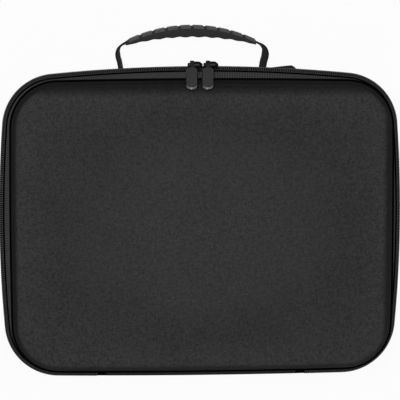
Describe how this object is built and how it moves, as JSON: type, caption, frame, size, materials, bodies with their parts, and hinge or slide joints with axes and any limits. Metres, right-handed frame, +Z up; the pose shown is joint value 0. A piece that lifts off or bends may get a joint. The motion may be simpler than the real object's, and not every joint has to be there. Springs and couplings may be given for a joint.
{
  "type": "game console carry case",
  "caption": "Hard-shell zip-round carry case with a hinged lid, carry handle, zipper pulls and a foam tray for a compact game console and its controller.",
  "frame": {"origin": "centre of the flat back that the case lies on", "axes": "X to the right as seen from the front, Y towards the handle, Z up through the lid's face"},
  "size_m": [0.371, 0.3233, 0.1279],
  "materials": {
    "shell_fabric": "fine heathered woven polyester over moulded foam",
    "zipper_tape": "ribbed woven tape",
    "zipper_coil": "satin nylon coil",
    "binding": "woven edge tape",
    "piping": "matte black",
    "hinge_fabric": "woven polyester",
    "slider_metal": "gloss black enamel",
    "tab_rubber": "matte",
    "grip_rubber": "satin",
    "webbing": "ribbed webbing",
    "foam": "brushed cover on die-cut foam",
    "elastic": "knitted elastic",
    "mesh": "open net"
  },
  "bodies": {
    "rear_case": {"rear_shell": "shell_fabric", "rear_zipper_tape": "zipper_tape", "rear_zipper_coil": "zipper_coil", "rear_rim_binding": "binding", "hinge_strip": "hinge_fabric", "left_zipper_end_tab": "binding", "right_zipper_end_tab": "binding", "handle_webbing": "webbing", "left_anchor_patch": "webbing", "right_anchor_patch": "webbing", "foam_tray": "foam", "console_strap": "elastic"},
    "lid": {"front_shell": "shell_fabric", "front_zipper_tape": "zipper_tape", "front_zipper_coil": "zipper_coil", "front_rim_binding": "binding", "face_piping": "piping", "mesh_pocket": "mesh", "mesh_pocket_elastic": "elastic"},
    "left_slider": {"left_slider": "slider_metal"},
    "right_slider": {"right_slider": "slider_metal"},
    "left_tab": {"left_pull_link": "slider_metal", "left_pull_tab": "tab_rubber"},
    "right_tab": {"right_pull_link": "slider_metal", "right_pull_tab": "tab_rubber"},
    "handle": {"handle_grip": "grip_rubber"}
  },
  "joints": [
    {"name": "lid_hinge", "type": "hinge", "parent": "rear_case", "child": "lid", "pos_m": [0, -0.144, 0.088], "axis": [1, 0, 0], "range_deg": [0, 180], "deforming": ["hinge_strip"]},
    {"name": "left_slider_travel", "type": "hinge", "parent": "lid", "child": "left_slider", "pos_m": [0, -1.276, 0.088], "axis": [0, 0, 1], "range_deg": [0, 4.4]},
    {"name": "right_slider_travel", "type": "hinge", "parent": "lid", "child": "right_slider", "pos_m": [0, -1.276, 0.088], "axis": [0, 0, -1], "range_deg": [0, 4]},
    {"name": "left_tab_swing", "type": "hinge", "parent": "left_slider", "child": "left_tab", "pos_m": [-0.00647, 0.14771, 0.09393], "axis": [-1, -0.0045, 0], "range_deg": [0, 200]},
    {"name": "right_tab_swing", "type": "hinge", "parent": "right_slider", "child": "right_tab", "pos_m": [0.00807, 0.1477, 0.09393], "axis": [-1, 0.0057, 0], "range_deg": [0, 200]},
    {"name": "handle_fold", "type": "hinge", "parent": "rear_case", "child": "handle", "pos_m": [-0.006, 0.1402, 0.046], "axis": [1, 0, 0], "range_deg": [-50, 35], "deforming": ["handle_webbing"]}
  ]
}
